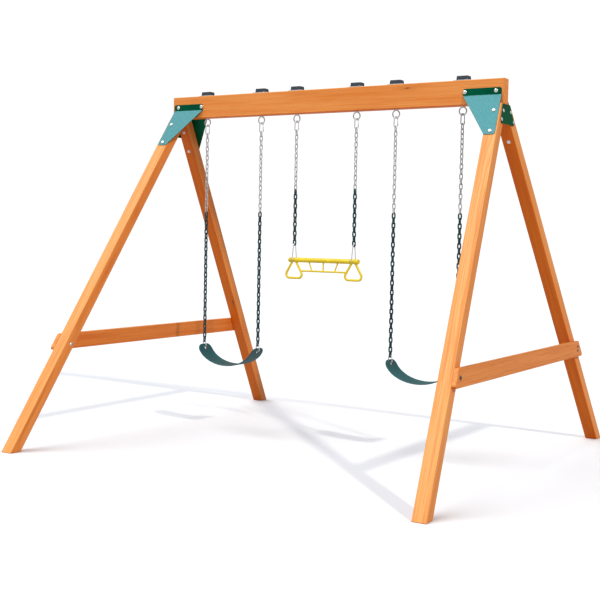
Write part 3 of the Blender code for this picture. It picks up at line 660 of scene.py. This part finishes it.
def build_hanger(name, end, x):
    """One hanger: eye with its collar, shank and threaded end; top plate; nut; cap."""
    node = f"{name}_eye_{end}"
    low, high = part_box(node)
    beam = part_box("top_beam")
    centre = Vector((x, 0.0, JOINTS["trapeze_hanger_swing"].z + EYE_RADIUS))
    eye_radius = centre.z - low.z - EYE_WIRE
    bm = bmesh.new()
    circle = [centre + eye_radius * Vector((math.cos(a), 0.0, math.sin(a))) for a in circle_turns(56)]
    sweep(bm, circle, EYE_WIRE, 16, Y_AXIS)
    under = beam[0].z - FIT
    neck_foot = centre.z + eye_radius - 0.002
    collar = [
        (0.0058, neck_foot),
        (0.0052, neck_foot + 0.0022),
        (0.0058, under - 0.0036),
        (0.0118, under - 0.0034),
        (0.0130, under - 0.0028),
        (0.0130, under - 0.0006),
        (0.0124, under),
        (0.0050, under),
        (0.0050, beam[1].z + 0.001),
    ]
    turned(bm, collar, Matrix.Translation((x, 0.0, 0.0)), 36)
    thread(bm, Matrix.Translation((x, 0.0, beam[1].z)), 0.0049, high.z - beam[1].z, HANGER_THREAD_PITCH)
    add_piece(f"{node}_bolt", bm, ZINC, "frame", [node])

    bm = bmesh.new()
    base = beam[1].z + FIT
    face = rectangle(TOP_PLATE_WIDTH - 0.0008, TOP_PLATE_DEPTH - 0.0008, 0.0076)
    edge = rectangle(TOP_PLATE_WIDTH, TOP_PLATE_DEPTH, 0.008)
    rows = [(face, base), (edge, base + 0.0004), (edge, base + TOP_PLATE - 0.0004), (face, base + TOP_PLATE)]
    loft(bm, rows, x)
    add_piece(f"{name}_top_plate_{end}", bm, ZINC, "frame")

    bm = bmesh.new()
    hex_nut(bm, Matrix.Translation((x, 0.0, base + TOP_PLATE)), HANGER_NUT_FLAT, HANGER_NUT_HEIGHT, 0.0048)
    add_piece(f"{name}_top_nut_{end}", bm, ZINC, "frame")
    build_cap(name, end, x)


def build_cap(name, end, x):
    """A hollow moulded cap: tapered walls, rounded top edges, a raised lip at its foot and a sunk top panel.

    Each row is (inset, height over the cap's foot, corner radius).
    """
    node = f"{name}_cap_{end}"
    low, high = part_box(node)
    width, depth, height = high - low
    outer = [
        (0.0000, 0.0000, 0.0030),
        (0.0000, 0.0022, 0.0030),
        (0.0012, 0.0027, 0.0032),
        (CAP_TAPER - 0.0008, height - 0.0026, 0.0034),
        (CAP_TAPER - 0.0002, height - 0.0015, 0.0034),
        (CAP_TAPER + 0.0009, height - 0.0006, 0.0032),
        (CAP_TAPER + 0.0026, height - 0.0001, 0.0028),
        (CAP_TAPER + 0.0040, height, 0.0026),
        (CAP_TAPER + 0.0080, height, 0.0024),
        (CAP_TAPER + 0.0092, height - 0.0008, 0.0022),
    ]
    inner = [(0.0050, 0.0000, 0.0030), (CAP_TAPER + 0.0040, height - 0.0060, 0.0040)]
    wall = outer[::-1] + inner
    bm = bmesh.new()
    loft(bm, [(rectangle(width - inset, depth - inset, radius), low.z + up) for inset, up, radius in wall], x)
    add_piece(f"{node}_moulding", bm, CAP_PLASTIC, "frame", [node], 40.0)


# ---------------------------------------------------------------- clips

CLIP_WIRE = 0.0035
TOP_CLIP = (0.061, 0.0110, 0.0135)  # length, half width at the top, half width at the bottom
SEAT_CLIP = (0.044, 0.0095, 0.013)


def build_clip(node, body, top, size, plane_x):
    """A pear-shaped spring clip: a bent wire, open on one slanting side, and a riveted gate that closes it.

    top is the centre of its top wire, size is to the wire's centre line, and plane_x points along its width.
    """
    length, top_half, bottom_half = size
    normal = plane_x.cross(Z_AXIS)
    corners = [(bottom_half, -length), (-bottom_half, -length), (-top_half, 0.0), (top_half, 0.0)]
    outline = rounded(corners, [0.92 * abs(across) for across, _ in corners], 12)
    path = [top + plane_x * p.x + Z_AXIS * p.y for p in outline]
    side = path[0] - path[-1]
    gate_top = path[-1] + side * 0.06
    gate_foot = path[0] - side * 0.16
    bm = bmesh.new()
    sweep(bm, [gate_foot] + path + [gate_top], CLIP_WIRE, 14, normal, closed=False)
    add_piece(f"{node}_body", bm, ZINC, body, [node])

    along = (gate_top - gate_foot).normalized()
    gate_foot = gate_foot - along * 0.002
    reach = (gate_top - gate_foot).length
    profile = [
        (0.0021, 0.0),
        (0.0027, 0.0008),
        (0.0027, reach - 0.004),
        (0.0022, reach - 0.003),
        (0.0022, reach - 0.0012),
        (0.0029, reach - 0.0010),
        (0.0026, reach),
    ]
    bm = bmesh.new()
    turned(bm, profile, pointing(gate_foot, along), 18)
    rivet = [(0.0010, 0.0), (0.0015, 0.0004), (0.0015, 0.0076), (0.0010, 0.0080)]
    turned(bm, rivet, pointing(gate_foot + along * 0.0030 - normal * 0.0040, normal), 14)
    add_piece(f"{node}_gate", bm, ZINC_BRIGHT, body)


# ---------------------------------------------------------------- chains

LINK_PITCH = 0.02812
LINK_RADIUS = 0.0085
BARE_WIRE = 0.0031
LINK_HALF = LINK_PITCH / 2 + BARE_WIRE
COATED_WIRE = 0.0044
TWISTED_LINKS = 12  # links that it takes for the top clip's turn to die out


def add_link(bm, centre, in_xz, wire, sides, twist):
    """One welded link; the weld makes one straight side a little thicker."""
    wobble = Matrix.Rotation(twist + random.uniform(-0.06, 0.06), 3, "Z")
    across = wobble @ (X_AXIS if in_xz else Y_AXIS)
    normal = across.cross(Z_AXIS)
    outline = stadium(LINK_RADIUS, 2 * LINK_HALF)
    path = [centre + across * p.x + Z_AXIS * p.y for p in outline]
    radii = [1.0 + (0.12 if p.x < -LINK_RADIUS * 0.99 and abs(p.y) < 0.001 else 0.0) for p in outline]
    sweep(bm, path, wire, sides, normal, radii=radii)


def build_chain(name, end, body, x, coat_z):
    """Real links in place of the plain rod: bare steel above the coating's top edge, coated below."""
    node = f"{name}_chain_{end}"
    low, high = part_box(node)
    first = high.z - BARE_WIRE - LINK_HALF
    count = round((first - (low.z + COATED_WIRE + LINK_HALF)) / LINK_PITCH) + 1
    bare, coated = bmesh.new(), bmesh.new()
    for index in range(count):
        centre = Vector((x, 0.0, first - LINK_PITCH * index))
        in_xz = index % 2 == 0
        twist = CLIP_TURN * max(1.0 - index / TWISTED_LINKS, 0.0)
        if centre.z > coat_z:
            add_link(bare, centre, in_xz, BARE_WIRE, 10, twist)
        else:
            add_link(coated, centre, in_xz, COATED_WIRE, 12, twist)
    add_piece(f"{node}_bare_links", bare, ZINC_CHAIN, body)
    add_piece(f"{node}_coated_links", coated, GREEN_COAT, body, [node])


# ---------------------------------------------------------------- belts

BELT_HALF_SPAN = 0.213
BELT_HALF_WIDTH = 0.0725
BELT_HALF_THICKNESS = 0.003
BELT_HOLE_X = 0.2036
BELT_HOLE_RISE = 0.0973  # from the middle of the belt up to its holes
BELT_HOLE = 0.012
BELT_TAB = 0.027  # from a hole's centre to the belt's end
BELT_CORNER = 0.045


def belt_place(turn, height, bottom):
    """A point on the belt's middle line, an ellipse of this half height, and the way along the belt there."""
    point = Vector((BELT_HALF_SPAN * math.sin(turn), 0.0, bottom + height * (1.0 - math.cos(turn))))
    along = Vector((BELT_HALF_SPAN * math.cos(turn), 0.0, height * math.sin(turn))).normalized()
    return point, along


def belt_rows():
    """The strap's (point, along, half width) rows from left to right, and the right hole's (point, along)."""
    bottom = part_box("right_swing_belt_seat")[0].z + BELT_HALF_THICKNESS
    reach = math.asin(BELT_HOLE_X / BELT_HALF_SPAN)
    height = BELT_HOLE_RISE / (1.0 - math.cos(reach))
    steps = 90
    rows = [belt_place(reach * (2.0 * i / steps - 1.0), height, bottom) for i in range(steps + 1)]
    first, last = rows[0], rows[-1]
    tab_steps = 12
    for step in range(1, tab_steps + 1):
        part = math.sin(math.pi / 2 * step / tab_steps)
        rows.insert(0, (first[0] - first[1] * BELT_TAB * part, first[1]))
        rows.append((last[0] + last[1] * BELT_TAB * part, last[1]))
    made = []
    for point, along in rows:
        to_end = min((point - rows[0][0]).length, (point - rows[-1][0]).length)
        inside = max(BELT_CORNER - to_end, 0.0)
        inset = BELT_CORNER - math.sqrt(max(BELT_CORNER**2 - inside**2, 0.0))
        made.append((point, along, BELT_HALF_WIDTH - inset))
    return made, last


def build_belt(name, body, x):
    """The belt: a moulded strap with rounded beads along its edges and a sunk field, and two grommets."""
    rows, (hole, hole_along) = belt_rows()
    node = f"{name}_belt_seat"
    section = []
    across_steps = 34
    for top_side in (1, -1):
        for step in range(across_steps + 1):
            part = 1.0 - 2.0 * step / across_steps
            section.append((part * top_side, top_side))
    bm = bmesh.new()
    rings = []
    for point, along, half in rows:
        normal = along.cross(-Y_AXIS)
        ring = []
        for part, side in section:
            from_edge = half * (1.0 - abs(part))
            bead = min(from_edge / BELT_HALF_THICKNESS, 1.0)
            thick = BELT_HALF_THICKNESS * math.sqrt(max(1.0 - (1.0 - bead) ** 2, 0.0))
            if from_edge > 0.007:
                thick -= 0.0006 * min((from_edge - 0.007) / 0.002, 1.0)
            ring.append(bm.verts.new(point + Y_AXIS * (half * part) + normal * (thick * side)))
        rings.append(ring)
    skin(bm, rings)
    close_ends(bm, rings)
    bmesh.ops.remove_doubles(bm, verts=bm.verts, dist=1e-6)
    bmesh.ops.translate(bm, vec=(x, 0.0, 0.0), verts=bm.verts)
    strap = add_piece(f"{node}_strap", bm, GREEN_RUBBER, body, [node])
    cutters = []
    for end, x_side in ENDS:
        centre = Vector((x + x_side * hole.x, 0.0, hole.z))
        normal = Vector((-x_side * hole_along.z, 0.0, hole_along.x))
        cutters.append(hole_helper(centre, normal, BELT_HOLE, 0.04))
        build_grommet(f"{node}_grommet_{end}", body, centre, normal)
    cut(strap, cutters)


def hole_helper(centre, direction, radius, length):
    """A round cutter, hidden from the render, centred on a point."""
    bm = bmesh.new()
    start = centre - direction.normalized() * length / 2
    turned(bm, [(radius, 0.0), (radius, length)], pointing(start, direction), 40)
    bmesh.ops.recalc_face_normals(bm, faces=bm.faces)
    mesh = bpy.data.meshes.new("hole_helper")
    bm.to_mesh(mesh)
    bm.free()
    helper = bpy.data.objects.new("hole_helper", mesh)
    bpy.context.scene.collection.objects.link(helper)
    helper.hide_render = True
    return helper


def cut(piece, cutters):
    """Subtracts the helpers from a piece, and removes them."""
    for cutter in cutters:
        modifier = piece.modifiers.new("hole", "BOOLEAN")
        modifier.operation = "DIFFERENCE"
        modifier.object = cutter
    bpy.context.view_layer.update()
    apply_modifiers(piece)
    piece.data.shade_smooth()
    piece.data.set_sharp_from_angle(angle=math.radians(35.0))
    for cutter in cutters:
        bpy.data.objects.remove(cutter)


def build_grommet(name, body, centre, normal):
    """A rolled metal eyelet through the strap."""
    half = 0.0036
    profile = [
        (0.0100, -half + 0.0006),
        (0.0106, -half - 0.0004),
        (0.0130, -half - 0.0010),
        (0.0158, -half - 0.0004),
        (0.0164, -half + 0.0006),
        (0.0160, -half + 0.0010),
        (0.0118, -half + 0.0010),
        (0.0118, half - 0.0010),
        (0.0160, half - 0.0010),
        (0.0164, half - 0.0006),
        (0.0158, half + 0.0004),
        (0.0130, half + 0.0010),
        (0.0106, half + 0.0004),
        (0.0100, half - 0.0006),
    ]
    bm = bmesh.new()
    ring_solid(bm, profile, pointing(centre, normal), 40)
    add_piece(name, bm, GROMMET_METAL, body)


def ring_solid(bm, profile, place, sides):
    """Adds a ring turned from a closed (radius, height) outline."""
    loops = []
    for turn in circle_turns(sides):
        ray = Vector((math.cos(turn), math.sin(turn), 0.0))
        loops.append([bm.verts.new(place @ (ray * radius + Z_AXIS * height)) for radius, height in profile])
    skin(bm, loops, closed=True)


# ---------------------------------------------------------------- trapeze

BAR_LOW, BAR_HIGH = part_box("trapeze_bar")
BAR_Z = (BAR_LOW.z + BAR_HIGH.z) / 2
BAR_RADIUS = 0.015
HANG = 0.210  # from the middle of the bar to each of its loops
RING_TOP_HALF = 0.010
RING_BOTTOM_HALF = 0.073
RING_TOP_Z = 1.128
RING_BOTTOM_Z = 1.021
RING_CORNER = 0.022
RING_WIRE = 0.0075
RAIL_Z = 1.066
RAIL_HALF = 0.168
RAIL_WIRE = 0.006
STRUTS = ((-0.104, -0.080), (0.0, 0.0), (0.104, 0.080))  # x at the bar and at the rail
STRUT_TOP_Z = 1.127
STRUT_WIRE = 0.005
BAR_HOLE = 0.0045
LOOP_WIRE = 0.0035
LOOP_BOTTOM_HALF = 0.026
LOOP_TOP_HALF = 0.011


def build_bar():
    """The tube, with thick rounded rims, sunk end plugs and a hole at each loop."""
    centre = (BAR_LOW + BAR_HIGH) / 2
    half = (BAR_HIGH.x - BAR_LOW.x) / 2
    end = [
        (0.0010, half - 0.0030),
        (0.0108, half - 0.0030),
        (0.0116, half - 0.0024),
        (0.0122, half - 0.0004),
        (0.0128, half),
        (0.0140, half - 0.0002),
        (0.0148, half - 0.0009),
        (BAR_RADIUS, half - 0.0022),
    ]
    profile = [(radius, -x) for radius, x in end] + [(radius, x) for radius, x in reversed(end)]
    bm = bmesh.new()
    turned(bm, profile, pointing(centre, X_AXIS), 48)
    bar = add_piece("trapeze_bar_tube", bm, YELLOW, "trapeze", ["trapeze_bar"])
    holes = [hole_helper(Vector((side * HANG, 0.0, BAR_Z)), Y_AXIS, BAR_HOLE, 0.08) for side in (-1, 1)]
    cut(bar, holes)


def build_ring_frame():
    """The moulding under the bar: two hand rings, a rail and three struts, blended where they meet."""
    bm = bmesh.new()
    corners = [
        (-RING_BOTTOM_HALF, RING_BOTTOM_Z),
        (RING_BOTTOM_HALF, RING_BOTTOM_Z),
        (RING_TOP_HALF, RING_TOP_Z),
        (-RING_TOP_HALF, RING_TOP_Z),
    ]
    outline = rounded(corners, [RING_CORNER, RING_CORNER, 0.006, 0.006], 8)
    for side in (-1, 1):
        sweep(bm, [Vector((side * HANG + p.x, 0.0, p.y)) for p in outline], RING_WIRE, 16, Y_AXIS)
    rail = [Vector((-RAIL_HALF, 0.0, RAIL_Z)), Vector((RAIL_HALF, 0.0, RAIL_Z))]
    sweep(bm, rail, RAIL_WIRE, 16, Y_AXIS, closed=False)
    for at_bar, at_rail in STRUTS:
        strut = [Vector((at_bar, 0.0, STRUT_TOP_Z)), Vector((at_rail, 0.0, RAIL_Z))]
        sweep(bm, strut, STRUT_WIRE, 16, Y_AXIS, closed=False)
    replaced = ["trapeze_ring_frame"]
    moulding = add_piece("trapeze_ring_moulding", bm, YELLOW, "trapeze", replaced)
    remesh = moulding.modifiers.new("one skin", "REMESH")
    remesh.mode = "VOXEL"
    remesh.voxel_size = 0.0014
    smooth = moulding.modifiers.new("fillets", "SMOOTH")
    smooth.factor = 0.5
    smooth.iterations = 6
    bpy.context.view_layer.update()
    apply_modifiers(moulding)
    cope = hole_helper(Vector((0.0, 0.0, BAR_Z)), X_AXIS, BAR_RADIUS + FIT, 0.9)
    cut(moulding, [cope])


def build_loop(end, x):
    """A bright wire loop from the last chain link through the bar."""
    node = f"trapeze_loop_{end}"
    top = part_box(node)[1].z - LOOP_WIRE
    corners = [
        (-LOOP_BOTTOM_HALF, BAR_Z),
        (LOOP_BOTTOM_HALF, BAR_Z),
        (LOOP_TOP_HALF, top),
        (-LOOP_TOP_HALF, top),
    ]
    outline = rounded(corners, [0.009, 0.009, 0.010, 0.010], 10)
    bm = bmesh.new()
    sweep(bm, [Vector((x, p.x, p.y)) for p in outline], LOOP_WIRE, 16, X_AXIS)
    add_piece(f"{node}_wire", bm, ZINC_BRIGHT, "trapeze", [node])


# ---------------------------------------------------------------- swings

BELT_SWING_COAT_Z = 1.437
TRAPEZE_COAT_Z = 1.562


def build_swing(name, hinge_body, seat_body, coat_z):
    """One swing from its hangers down; coat_z is the height of its chains' coating's top edge."""
    hinge = JOINTS[f"{hinge_body}_swing"]
    tilt = JOINTS[f"{seat_body}_tilt"]
    for end, _ in ENDS:
        low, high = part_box(f"{name}_chain_{end}")
        x = (low.x + high.x) / 2
        build_hanger(name, end, x)
        node = f"{name}_top_clip_{end}"
        top = Vector((x, 0.0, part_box(node)[1].z - CLIP_WIRE))
        build_clip(node, hinge_body, top, TOP_CLIP, Matrix.Rotation(CLIP_TURN, 3, "Z") @ Y_AXIS)
        build_chain(name, end, hinge_body, x, coat_z)
        if name == "trapeze":
            build_loop(end, x)
        else:
            build_clip(f"{name}_seat_clip_{end}", seat_body, Vector((x, 0.0, tilt.z)), SEAT_CLIP, X_AXIS)
    if name == "trapeze":
        build_bar()
        build_ring_frame()
    else:
        build_belt(name, seat_body, hinge.x)


# ---------------------------------------------------------------- studio


def build_floor():
    """A wide pale floor that gives back little coloured light, as a bright studio sweep does."""
    g = Graph("studio_floor_look")
    camera_ray = g.add("LightPath").outputs["Is Camera Ray"]
    color = g.mix(camera_ray, (0.50, 0.50, 0.50), (0.93, 0.93, 0.93))
    look = g.finish(base_color=color, roughness=1.0, specular_ior_level=0.0)
    bm = bmesh.new()
    bmesh.ops.create_grid(bm, x_segments=1, y_segments=1, size=200.0)
    mesh = bpy.data.meshes.new("studio_floor")
    bm.to_mesh(mesh)
    bm.free()
    mesh.materials.append(look)
    floor = bpy.data.objects.new("studio_floor", mesh)
    floor.location.z = -0.0004
    bpy.context.scene.collection.objects.link(floor)


def add_sun(name, towards_light, strength, angle, color):
    """A sun lamp of this angular size in degrees."""
    light = bpy.data.lights.new(name, "SUN")
    light.energy = strength
    light.angle = math.radians(angle)
    light.color = color
    lamp = bpy.data.objects.new(name, light)
    lamp.rotation_euler = Vector(towards_light).to_track_quat("Z", "Y").to_euler()
    bpy.context.scene.collection.objects.link(lamp)


def build_light():
    """A white backdrop, a broad soft light from above the front left, and a weaker one from the right."""
    world = bpy.data.worlds.new("studio")
    world.use_nodes = True
    nodes, links = world.node_tree.nodes, world.node_tree.links
    background = nodes["Background"]
    background.inputs["Color"].default_value = (0.33, 0.335, 0.35, 1.0)
    backdrop = nodes.new("ShaderNodeBackground")
    backdrop.inputs["Color"].default_value = (1.05, 1.05, 1.05, 1.0)
    path = nodes.new("ShaderNodeLightPath")
    mix = nodes.new("ShaderNodeMixShader")
    links.new(path.outputs["Is Camera Ray"], mix.inputs[0])
    links.new(background.outputs[0], mix.inputs[1])
    links.new(backdrop.outputs[0], mix.inputs[2])
    links.new(mix.outputs[0], nodes["World Output"].inputs["Surface"])
    bpy.context.scene.world = world
    add_sun("overhead_light", (-0.38, -0.31, 0.87), 2.15, 50.0, (0.95, 0.99, 1.06))
    add_sun("side_light", (1.25, -0.70, 1.0), 1.42, 3.0, (1.04, 0.98, 0.90))
    bpy.context.scene.view_settings.view_transform = "Standard"


CAMERA_PLACE = (3.4111, -5.7852, 1.2904)
CAMERA_YAW, CAMERA_PITCH, CAMERA_ROLL = math.radians(31.7036), math.radians(3.4134), math.radians(1.1142)
CAMERA_LENS = 65.94  # millimetres, on a 36 mm wide sensor


def build_camera():
    """The camera in front and to the right of the set, near the height of a child's head."""
    yaw, pitch, roll = CAMERA_YAW, CAMERA_PITCH, CAMERA_ROLL
    ahead = Vector((-math.sin(yaw) * math.cos(pitch), math.cos(yaw) * math.cos(pitch), -math.sin(pitch)))
    right = Vector((math.cos(yaw), math.sin(yaw), 0.0))
    up = right.cross(ahead)
    right, up = right * math.cos(roll) + up * math.sin(roll), up * math.cos(roll) - right * math.sin(roll)
    data = bpy.data.cameras.new("camera")
    data.sensor_width = 36.0
    data.lens = CAMERA_LENS
    camera = bpy.data.objects.new("camera", data)
    turn = Matrix((right, up, -ahead)).transposed().to_4x4()
    camera.matrix_world = Matrix.Translation(CAMERA_PLACE) @ turn
    bpy.context.scene.collection.objects.link(camera)
    bpy.context.scene.camera = camera


build_camera()
build_light()
build_floor()
dress_timbers()
dress_plates()
build_bolts()
build_swing("left_swing", "left_swing", "left_seat", BELT_SWING_COAT_Z)
build_swing("trapeze", "trapeze_hanger", "trapeze", TRAPEZE_COAT_Z)
build_swing("right_swing", "right_swing", "right_seat", BELT_SWING_COAT_Z)
